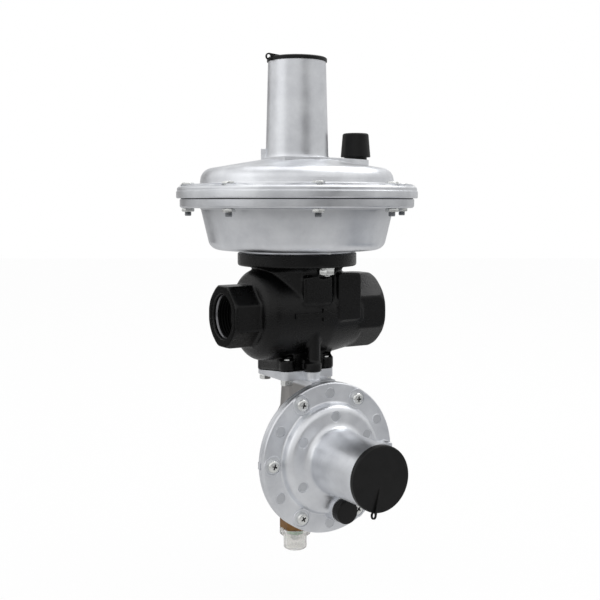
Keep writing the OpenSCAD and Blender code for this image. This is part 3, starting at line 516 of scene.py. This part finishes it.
def edge_broken(node, name, width, straight=None, shape=None, rings=False):
    """A CAD node's copy with its sharp edges rounded. Where straight(point) holds, its tube stays true."""
    piece = copy_of(node, name)
    edit(piece, "VERT")
    bpy.ops.mesh.dissolve_limited(angle_limit=math.radians(0.4))
    close(piece)
    if shape:
        shape(piece)
    if rings:
        part_thin_rings(piece)
    soften(piece, width, 28.0, use_clamp_overlap=False, miter_outer="MITER_ARC")
    smooth(piece, 32.0)
    modify(piece, "WEIGHTED_NORMAL", keep_sharp=True)
    if straight:
        tube = piece.vertex_groups.new(name="tube")
        tube.add([v.index for v in piece.data.vertices if straight(v.co)], 1.0, "REPLACE")
        modify(piece, "DATA_TRANSFER", object=nodes[node], use_loop_data=True, vertex_group="tube",
               data_types_loops={"CUSTOM_NORMAL"}, loop_mapping="POLYINTERP_NEAREST")
        piece.vertex_groups.clear()
    return stand_in(piece, node)


def step_the_rim(case):
    """Turns the rim a little smaller above a fine ledge, and lifts its lower edge off the rubber."""
    ledge, ledge_height, rim_r, shrink = 0.0896, 0.0002, 0.0855, 0.9935
    edge_r, edge_top, edge_rise = 0.0865, 0.0845, 0.0004
    tower_bands = (0.119, 0.135, 0.152, 0.169)
    for height in (ledge, ledge - ledge_height, *tower_bands):
        edit(case, "VERT")
        bpy.ops.mesh.bisect(plane_co=(0.0, 0.0, height), plane_no=(0.0, 0.0, 1.0))
        close(case)
    pick(case, lambda p: from_axis(p) > rim_r and p.z > ledge - ledge_height / 2)
    bpy.ops.transform.resize(value=(shrink, shrink, 1.0), center_override=(MAIN_X, 0.0, 0.0))
    close(case)
    lift(case, edge_rise, lambda p: from_axis(p) > edge_r and p.z < edge_top)


def short_skirt(cap):
    """Turns back the skirt of the tower's cap, which barely laps the tower's end."""
    skirt_r, skirt_top, turned_back = 0.0213, 0.1846, 0.0008
    lift(cap, turned_back, lambda p: from_axis(p) > skirt_r and p.z < skirt_top)


def rim_over_joint(cover):
    """Carries the module cover's rim back over the rubber's edge, so that only a fine line shows there."""
    proud, lap, line, wall = 0.00102, 0.0008, 0.00008, 0.00085
    low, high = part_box("module_diaphragm")
    front, back = low.y - lap, high.y - line
    rim = add(bpy.ops.mesh.primitive_cylinder_add, vertices=160, radius=(high.x - low.x) / 2 + proud,
              depth=back - front, end_fill_type="NOTHING", rotation=LAID,
              location=((low.x + high.x) / 2, (front + back) / 2, (low.z + high.z) / 2))
    modify(settle(rim), "SOLIDIFY", thickness=wall, offset=-1.0)
    join([cover, rim], cover.name)


def pin_marks(cover):
    """Gives the ejector marks of the module's cover a darker finish: the skin that the pins leave, with
    painted shade for their shading.
    """
    raised_y, sunk_y, near = -0.0464, -0.0537, 0.00006
    cover.data.materials.append(finishes["pin_mark"])
    for face in cover.data.polygons:
        off = min(abs(face.center.y - raised_y), abs(face.center.y - sunk_y))
        if face.normal.y < -0.995 and off < near:
            face.material_index = 1


def sand_cast_body():
    """The iron body with the soft edges of a sand casting, and flat black faces on its two ports."""
    near = 0.0005
    body = copy_of("valve_body", "cast_body")
    modify(body, "REMESH", mode="VOXEL", voxel_size=0.0009, use_smooth_shade=True)
    modify(body, "SMOOTH", factor=0.5, iterations=3)
    stand_in(body, "valve_body")
    low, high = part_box("valve_body")
    body.data.materials.append(finishes["port_face"])
    for face in body.data.polygons:
        end = face.center.x < low.x + near or face.center.x > high.x - near
        if end and abs(face.normal.x) > 0.8:
            face.material_index = 1


def flow_arrow():
    """Raised arrow on the front of the barrel, its back sunk in the iron."""
    front, back, height = -0.0347, -0.0320, 0.0009
    tail, neck, tip = MAIN_X - 0.0207, MAIN_X + 0.0020, MAIN_X + 0.0115
    shaft_width, lap, squeeze = 0.0036, 0.001, 0.85
    middle = (front + back) / 2
    corner = (tip - neck) / 1.5
    shaft = add(bpy.ops.mesh.primitive_cube_add, size=1.0,
                location=((tail + neck) / 2 + lap / 2, middle, height))
    shaft.scale = (neck - tail + lap, back - front, shaft_width)
    settle(shaft)
    head = add(bpy.ops.mesh.primitive_cylinder_add, vertices=3, radius=corner, depth=back - front,
               rotation=LAID)
    edit(settle(head), "VERT")
    bpy.ops.transform.resize(value=(squeeze, 1.0, 1.0), center_override=(0.0, 0.0, 0.0))
    close(head)
    turn_to(head, "Y", 90.0, (tip - corner, middle, height))
    arrow = cut(shaft, head, "UNION")
    arrow.name = "flow_arrow"
    soften(arrow, 0.00035, 30.0, segments=3)
    smooth(arrow, 35.0)
    dress(arrow, finishes["black_iron"])
    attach(arrow, "root")


# Wound and turned pieces

def wound(name, radius, wire, sides, turns, pitch, steps, start=0.0):
    """A wire wound upwards round the Z axis, with its ends closed."""
    coil = add(bpy.ops.mesh.primitive_circle_add, vertices=sides, radius=wire,
               location=(radius, 0.0, start), rotation=LAID)
    coil.name = name
    settle(coil)
    count = int(turns * steps)
    modify(coil, "SCREW", axis="Z", angle=2 * math.pi * turns, screw_offset=pitch * turns, iterations=1,
           steps=count, render_steps=count)
    edit(coil, "VERT")
    bpy.ops.mesh.fill_holes(sides=0)
    bpy.ops.mesh.select_all(action="SELECT")
    bpy.ops.mesh.normals_make_consistent(inside=False)
    return close(coil)


def pipe_thread(name, radius, mouth, direction):
    """Crests of a pipe thread inside a port's bore, behind a smooth lead-in that the tap left bare."""
    pitch, length = 0.00221, 0.0098
    ridge = wound(name, radius, wire=0.00095, sides=4, turns=length / pitch, pitch=pitch, steps=48,
                  start=0.0052)
    # The crests are near black: oiled iron, with painted shade deep in the bore
    dress(ridge, finishes["oiled_thread_painted_shade"])
    lead = add(bpy.ops.mesh.primitive_cone_add, vertices=96, radius1=radius + 0.0001,
               radius2=radius - 0.0009, depth=0.0016, end_fill_type="NOTHING", location=(0.0, 0.0, 0.0036))
    modify(settle(lead), "SOLIDIFY", thickness=0.0007, offset=1.0)
    soften(lead, 0.0002, 40.0)
    dress(lead, finishes["bare_iron"])
    ridge = join([ridge, lead], name)
    turn_to(ridge, "Y", 90.0 * direction, (mouth, 0.0, 0.0))
    smooth(ridge, 30.0)
    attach(ridge, "root")


def spring_run(name, node, base, tip, wire, sides, turns, steps, phase=0.0):
    """A run of a wire spring from base to tip, which closes up between its still end and a moving body."""
    low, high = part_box(node)
    run = tip - base
    coil = wound(name, (high.x - low.x) / 2 - wire, wire, sides, turns, run.length / turns, steps)
    turn_to(coil, "Z", phase, (0.0, 0.0, 0.0))
    turn_to(coil, "X", 90.0 if run.y < 0.0 else 0.0, base)
    smooth(coil, 60.0)
    dress(coil, finishes["spring_steel"])
    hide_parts(node)
    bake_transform(coil)


def spring_in_two(name, node, base, tip, wire, sides, turns, steps):
    """A spring between two moving seats, in two runs that meet at its still middle."""
    middle = (base + tip) / 2
    half = turns / 2
    spring_run(name + "_near", node, base, middle, wire, sides, half, steps)
    spring_run(name + "_far", node, middle, tip, wire, sides, half, steps, 180.0 * turns)


def round_wire_springs():
    low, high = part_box("control_spring")
    wire = 0.002
    spring_in_two("control_spring_wire", "control_spring", Vector((MAIN_X, 0.0, low.z + wire)),
                  Vector((MAIN_X, 0.0, high.z - wire)),
                  wire, sides=14, turns=7, steps=40)
    low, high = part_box("trip_spring")
    wire = 0.0015
    spring_in_two("trip_spring_wire", "trip_spring", Vector((MAIN_X, high.y - wire, MODULE_Z)),
                  Vector((MAIN_X, low.y + wire, MODULE_Z)),
                  wire, sides=12, turns=6, steps=36)
    low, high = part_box("shutoff_spring")
    wire = 0.0009
    base = Vector((STEM_X, 0.0, low.z + wire))
    spring_run("shutoff_spring_wire", "shutoff_spring", base, Vector((STEM_X, 0.0, high.z - wire)),
               wire, sides=12, turns=5, steps=32)


def centre_of(sheet, name, middle, radius, turn):
    """Parts a rubber sheet at a radius: it keeps its rim, and its centre becomes a piece of its own."""
    centre = bpy.data.objects.new(name, sheet.data.copy())
    scene.collection.objects.link(centre)
    for part, operation in ((centre, "INTERSECT"), (sheet, "DIFFERENCE")):
        cutter = add(bpy.ops.mesh.primitive_cylinder_add, vertices=128, radius=radius, depth=0.03,
                     location=middle, rotation=turn)
        cut(part, settle(cutter), operation)
    return centre


def rubber_sheets():
    """The two diaphragms: the rim is clamped to the casing, and the module's centre goes with its head."""
    rim = edge_broken("main_diaphragm", "rolling_diaphragm", SMALL_EDGE)
    centre = centre_of(rim, "rolling_diaphragm_centre", (MAIN_X, 0.0, 0.0844), 0.0595, (0.0, 0.0, 0.0))
    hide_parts("main_diaphragm")
    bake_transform(centre)
    rim = edge_broken("module_diaphragm", "trip_diaphragm", SMALL_EDGE)
    centre = centre_of(rim, "trip_diaphragm_centre", (MAIN_X, -0.0424, MODULE_Z), 0.0275, LAID)
    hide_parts("module_diaphragm")
    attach(centre, "trip_head")


# Fasteners

def hexagon_block(name, flats, low, high, both_ends=False):
    """A hexagon whose corners are turned off by a round chamfer at its top, or at both its ends."""
    corner = flats / math.sqrt(3.0)
    slope = corner - 0.94 * flats / 2
    rise = slope * math.tan(math.radians(30.0))
    base = low + rise if both_ends else low - 0.001
    block = add(bpy.ops.mesh.primitive_cylinder_add, vertices=6, radius=corner, depth=high - low,
                location=(0.0, 0.0, (low + high) / 2))
    settle(block)
    block.name = name
    blank = add(bpy.ops.mesh.primitive_cylinder_add, vertices=64, radius=corner * 1.001,
                depth=high - rise - base, location=(0.0, 0.0, (high - rise + base) / 2))
    settle(blank)
    for end in (1.0, -1.0) if both_ends else (1.0,):
        edit(blank, "FACE", lambda middle, normal: end * normal.z > 0.9)
        bpy.ops.mesh.inset(thickness=slope)
        bpy.ops.transform.translate(value=(0.0, 0.0, end * rise))
        close(blank)
    return cut(block, blank, "INTERSECT")


def round_bar(name, radius, low, high, rim=0.0002):
    bar = add(bpy.ops.mesh.primitive_cylinder_add, vertices=40, radius=radius, depth=high - low,
              location=(0.0, 0.0, (low + high) / 2))
    settle(bar)
    bar.name = name
    soften(bar, rim, 40.0)
    return bar


def copies(master, boxes, name, axis, turn):
    """Copies of a fastener at the low ends of its boxes, turned by turn(index), joined as one piece."""
    made = []
    for index, (low, high) in enumerate(boxes):
        spot = (low + high) / 2
        spot[axis] = low[axis]
        take(master)
        bpy.ops.object.duplicate(linked=False)
        item = bpy.context.object
        item.rotation_euler = turn(index)
        item.location = spot
        made.append(settle(item))
    bpy.data.objects.remove(master)
    return smooth(join(made, name), 30.0)


def casing_fasteners():
    """The bolts of the casing's flange with their washers, heads up, and the nuts below them."""
    flats = 0.008
    boxes = lumps("casing_bolts")
    height = boxes[0][1].z - boxes[0][0].z
    head_low, washer_low, shank_top = height - 0.0030, height - 0.0042, height - 0.004
    head = hexagon_block("head", flats, head_low, height)
    soften(head, HEAD_EDGE, 25.0)
    washer = round_bar("washer", 0.0054, washer_low, head_low, rim=0.0003)
    shank = round_bar("shank", 0.00225, 0.0, shank_top, rim=0.0004)
    thread = wound("thread", 0.00222, wire=0.00033, sides=4, turns=5, pitch=0.0008, steps=24, start=0.0006)
    for bright in (head, washer):
        dress(bright, finishes["zinc_steel"])
    # Dark oiled steel on the shank and thread, with painted shade on the bolt ends under the flange
    for dark in (shank, thread):
        dress(dark, finishes["spring_steel"])
    bolt = join([head, washer, shank, thread], "bolt")
    bolt_set = copies(bolt, boxes, "casing_bolt_set", 2, lambda i: (0.0, 0.0, 0.4 * i))
    stand_in(bolt_set, "casing_bolts")
    boxes = lumps("casing_nuts")
    height = boxes[0][1].z - boxes[0][0].z
    nut = hexagon_block("nut", flats, 0.0, height, both_ends=True)
    cut(nut, round_bar("bore", 0.0027, -0.001, height + 0.001))
    soften(nut, 0.0001, 25.0)
    nut_set = copies(nut, boxes, "casing_nut_set", 2, lambda i: (0.0, 0.0, math.radians(15.0 + 45.0 * i)))
    stand_in(nut_set, "casing_nuts")


def screw_with_head_up(head, shank_r, length):
    """Joins a head that ends at height 0 to the shank that hangs from it."""
    shank = round_bar("shank", shank_r, -length, -0.002, rim=0.0004)
    return join([head, shank], "screw")


def cross_recess_head(radius, height):
    """A pan head with a tapered cross sunk in its top."""
    blade_size, blade_taper = (0.0050, 0.0012, 0.0032), (0.4, 0.75, 1.0)
    cross_r, skin = 0.0024, 0.0001
    head = add(bpy.ops.mesh.primitive_cylinder_add, vertices=48, radius=radius, depth=height,
               location=(0.0, 0.0, -height / 2))
    edit(settle(head), "FACE", lambda middle, normal: normal.z > 0.9)
    bpy.ops.mesh.bevel(offset=0.6 * height, segments=6, profile=0.5, affect="EDGES")
    close(head)
    for turn in (0.0, 90.0):
        blade = add(bpy.ops.mesh.primitive_cube_add, size=1.0, location=(0.0, 0.0, -0.0005))
        blade.scale = blade_size
        edit(settle(blade), "FACE", lambda middle, normal: normal.z < -0.9)
        bpy.ops.transform.resize(value=blade_taper)
        close(blade)
        turn_to(blade, "Z", turn, (0.0, 0.0, 0.0))
        cut(head, blade)
    dress(head, finishes["zinc_steel"])
    # The faces inside the cross take a near-black finish: painted shade in the recess
    head.data.materials.append(finishes["recess"])
    for face in head.data.polygons:
        spot = face.center
        if math.hypot(spot.x, spot.y) < cross_r and 2 * skin - height < spot.z < -skin:
            face.material_index = 1
    return head


def cover_screw_set():
    boxes = lumps("cover_screws")
    length = boxes[0][1].y - boxes[0][0].y
    screw = screw_with_head_up(cross_recess_head(0.0043, 0.0028), 0.002, length)
    turns = (0.35, 1.1, 0.2, 0.75, 0.05, 1.3)
    screws = copies(screw, boxes, "cover_screw_set", 1, lambda i: (math.pi / 2, turns[i], 0.0))
    stand_in(screws, "cover_screws")


def hexagon_screws(node, name, flats, head_h, shank_r, collar=None, nib=0.0):
    """Hexagon screws that point upwards, with a collar and a nib on their heads where these are given."""
    boxes = lumps(node)
    length = boxes[0][1].z - boxes[0][0].z
    under = -head_h - nib
    head = hexagon_block("head", flats, under, -nib)
    soften(head, HEAD_EDGE, 25.0)
    if collar:
        collar_r, collar_h = collar
        head = join([head, round_bar("collar", collar_r, under - collar_h, under)], "head")
    if nib:
        head = join([head, round_bar("nib", 0.0022, -nib - 0.0002, 0.0, rim=0.0003)], "head")
    screw = screw_with_head_up(head, shank_r, length)
    screws = copies(screw, boxes, name, 2, lambda i: (math.pi, 0.0, math.radians(15.0 + 10.0 * i)))
    stand_in(screws, node)


# Finishes

def mottled(name, dark, light, metal, rough, cloud, grain, depth, specular=None):
    """A finish whose colour and gloss wander over the surface, with a fine grain in relief."""
    cloud_low, cloud_high = 0.3, 0.7
    smoothest, roughest = rough
    material = bpy.data.materials.new(name)
    material.use_nodes = True
    tree = material.node_tree
    link = tree.links.new
    shader = shader_of(material)
    shader.inputs["Base Color"].default_value = (*light, 1.0)
    shader.inputs["Metallic"].default_value = metal
    shader.inputs["Roughness"].default_value = roughest
    if specular is not None:
        shader.inputs["Specular IOR Level"].default_value = specular
    clouds = object_noise(tree, cloud, 4.0).outputs["Fac"]
    link(ramp(tree, clouds, [(cloud_low, dark), (cloud_high, light)]), shader.inputs["Base Color"])
    link(mapped(tree, clouds, cloud_low, cloud_high, smoothest, roughest), shader.inputs["Roughness"])
    relief = tree.nodes.new("ShaderNodeBump")
    relief.inputs["Distance"].default_value = depth
    relief.inputs["Strength"].default_value = 1.0
    link(object_noise(tree, grain, 2.0).outputs["Fac"], relief.inputs["Height"])
    link(relief.outputs["Normal"], shader.inputs["Normal"])
    return material


def over_colour(material, tint):
    """Multiplies a finish's colour by a tint."""
    tree = material.node_tree
    socket = shader_of(material).inputs["Base Color"]
    tree.links.new(times(tree, socket.links[0].from_socket, tint), socket)


def pitted(material, spacing, size, level):
    """Small dark pits scattered over a casting."""
    tree = material.node_tree
    edge = size / spacing
    cells = tree.nodes.new("ShaderNodeTexVoronoi")
    cells.inputs["Scale"].default_value = 1.0 / spacing
    shift = tree.nodes.new("ShaderNodeVectorMath")
    shift.operation = "MULTIPLY_ADD"
    shift.inputs[1].default_value = grey(1.2 * size)
    tree.links.new(object_noise(tree, 1.4 / size, 2.0).outputs["Color"], shift.inputs[0])
    tree.links.new(place_on_object(tree), shift.inputs[2])
    tree.links.new(shift.outputs["Vector"], cells.inputs["Vector"])
    pits = ramp(tree, cells.outputs["Distance"], [(0.25 * edge, grey(level)), (edge, grey(1.0))])
    over_colour(material, pits)


def casting(name, rough):
    """Bright die-cast aluminium with a few pits."""
    material = mottled(name, (0.71, 0.725, 0.758), (0.92, 0.937, 0.965), metal=1.0, rough=rough,
                       cloud=45.0, grain=900.0, depth=0.00006)
    pitted(material, spacing=0.017, size=0.0007, level=0.55)
    return material


def bowl_painted_shade():
    """The bowl's casting, with painted shade that darkens it towards the corner under its flange."""
    material = casting("die_cast_bowl_painted_shade", (0.3, 0.42))
    # Painted shade: darkest at the bowl's top under the flange, a little dark on the flange's rim above
    corner = along(material.node_tree, "Z", 0.058, 0.0798,
                   [(0.0, grey(1.0)), (0.5, grey(0.9)), (0.885, grey(0.64)), (0.91, grey(0.86))])
    over_colour(material, corner)
    return material


def housing_painted_shade():
    """The module's housing, a rougher casting, with painted shade that darkens all but its top plate and
    its flange.
    """
    material = casting("housing_painted_shade", (0.36, 0.5))
    tree = material.node_tree
    # Warm grey of the painted shade on the neck, under the plate and the black body
    skin = (0.43, 0.41, 0.385)
    plate = along(tree, "Z", -0.054, -0.046, [(0.4, skin), (0.6, grey(1.0))])
    flange = along(tree, "Y", -0.042, -0.034, [(0.3, grey(1.0)), (0.5, skin)])
    over_colour(material, times(tree, plate, flange, "LIGHTEN"))
    return material


def clear_moulding():
    material = mottled("clear_moulding", (0.95, 0.94, 0.92), (0.99, 0.98, 0.96), metal=0.0,
                       rough=(0.14, 0.24), cloud=80.0, grain=900.0, depth=0.00003)
    shader_of(material).inputs["Transmission Weight"].default_value = 0.75
    shader_of(material).inputs["IOR"].default_value = 1.48
    return material


def make_finishes():
    return {
        "cast_aluminium": casting("die_cast_aluminium", (0.3, 0.42)),
        "bowl": bowl_painted_shade(),
        "housing": housing_painted_shade(),
        # Darker than the casting: the pins' skin, with painted shade in the marks
        "pin_mark": mottled("pin_mark", (0.6, 0.615, 0.64), (0.7, 0.715, 0.74), metal=1.0,
                            rough=(0.36, 0.46), cloud=90.0, grain=900.0, depth=0.00006),
        # Painted shade for the inside of the cross recesses
        "recess": mottled("painted_shade_in_screw_recess", grey(0.03), grey(0.07), metal=0.6,
                          rough=(0.4, 0.55), cloud=200.0, grain=2500.0, depth=0.00002),
        # Oiled iron darkened further by painted shade inside the bore
        "oiled_thread_painted_shade": mottled("oiled_thread_painted_shade", grey(0.0008), grey(0.002), metal=0.0,
                                rough=(0.35, 0.5), cloud=90.0, grain=900.0, depth=0.0001, specular=0.05),
        "bare_iron": mottled("bare_iron", (0.16, 0.16, 0.17), (0.3, 0.3, 0.31), metal=1.0,
                             rough=(0.26, 0.36), cloud=120.0, grain=1500.0, depth=0.00003),
        "black_iron": mottled("black_enamel_on_iron", grey(0.001), (0.0025, 0.0025, 0.0027), metal=0.0,
                              rough=(0.22, 0.34), cloud=60.0, grain=900.0, depth=0.00025, specular=0.28),
        "port_face": mottled("flat_black_port_face", grey(0.002), grey(0.004), metal=0.0,
                             rough=(0.5, 0.6), cloud=60.0, grain=650.0, depth=0.0004, specular=0.06),
        "zinc_steel": mottled("bright_zinc", (0.78, 0.79, 0.775), (0.9, 0.91, 0.895), metal=1.0,
                              rough=(0.22, 0.32), cloud=160.0, grain=2500.0, depth=0.00002),
        "turned_steel": mottled("turned_steel", (0.5, 0.51, 0.52), (0.64, 0.65, 0.66), metal=1.0,
                                rough=(0.24, 0.34), cloud=120.0, grain=2200.0, depth=0.00002),
        "spring_steel": mottled("oiled_wire", (0.2, 0.21, 0.22), (0.34, 0.35, 0.37), metal=1.0,
                                rough=(0.25, 0.38), cloud=150.0, grain=1800.0, depth=0.00002),
        "rubber": mottled("moulded_rubber", (0.012, 0.012, 0.013), (0.024, 0.024, 0.025), metal=0.0,
                          rough=(0.6, 0.75), cloud=110.0, grain=1500.0, depth=0.00004),
        "black_plastic": mottled("moulded_black_plastic", grey(0.004), grey(0.008), metal=0.0,
                                 rough=(0.36, 0.48), cloud=90.0, grain=2600.0, depth=0.00004,
                                 specular=0.25),
        "brass": mottled("dulled_brass", (0.17, 0.09, 0.038), (0.34, 0.19, 0.08), metal=1.0,
                         rough=(0.32, 0.45), cloud=130.0, grain=1600.0, depth=0.00003),
        "green_plastic": mottled("green_sleeve", (0.06, 0.33, 0.09), (0.1, 0.45, 0.13), metal=0.0,
                                 rough=(0.35, 0.45), cloud=150.0, grain=2000.0, depth=0.00002),
        "clear_plastic": clear_moulding(),
    }


aim_camera()
light_studio()
lay_floor()
finishes = make_finishes()
for entry in frame["record"]["subparts"]:
    dress(nodes[entry["node"]], finishes[entry["material_slot"]])

sand_cast_body()
flow_arrow()
pipe_thread("inlet_thread", radius=0.0158, mouth=0.0, direction=1)
pipe_thread("outlet_thread", radius=0.02017, mouth=0.1239, direction=-1)
edge_broken("upper_casing", "spring_case", CAST_EDGE, straight=on_tower, shape=step_the_rim)
dress(edge_broken("lower_casing", "diaphragm_bowl", CAST_EDGE), finishes["bowl"])
dress(edge_broken("module_body", "trip_housing", CAST_EDGE), finishes["housing"])
pin_marks(edge_broken("module_cover", "trip_cover", CAST_EDGE, straight=on_trip_spring_case,
                      shape=rim_over_joint))
edge_broken("closing_cap", "tower_cap", CAP_EDGE, shape=short_skirt, rings=True)
edge_broken("module_closing_cap", "case_cap", CAP_EDGE, rings=True)
edge_broken("vent_cap", "rain_cap", SMALL_EDGE)
edge_broken("module_vent_cap", "vent_plug", SMALL_EDGE)
edge_broken("reset_bushing", "brass_hexagon", SMALL_EDGE, rings=True)
for soft, name in (("body_seal", "body_o_ring"), ("module_seal", "module_o_ring"),
                   ("valve_disk", "valve_rubber"), ("shutoff_pad", "shutoff_rubber")):
    edge_broken(soft, name, SMALL_EDGE)
for inside, name in (("adjusting_screw", "adjuster_plug"), ("upper_spring_seat", "spring_washer"),
                     ("trip_adjuster", "trip_plug"), ("trip_spring_seat", "trip_washer"),
                     ("vent_screen", "screen_ring"), ("position_indicator", "green_marker"),
                     ("clear_cap", "sight_glass")):
    edge_broken(inside, name, INNER_EDGE)
rubber_sheets()
round_wire_springs()
casing_fasteners()
cover_screw_set()
hexagon_screws("module_bolts", "module_screw_set", flats=0.008, head_h=0.004, shank_r=0.0025)
hexagon_screws("casing_screws", "casing_screw_set", flats=0.010, head_h=0.0042, shank_r=0.003,
               collar=(0.0054, 0.001), nib=0.001)
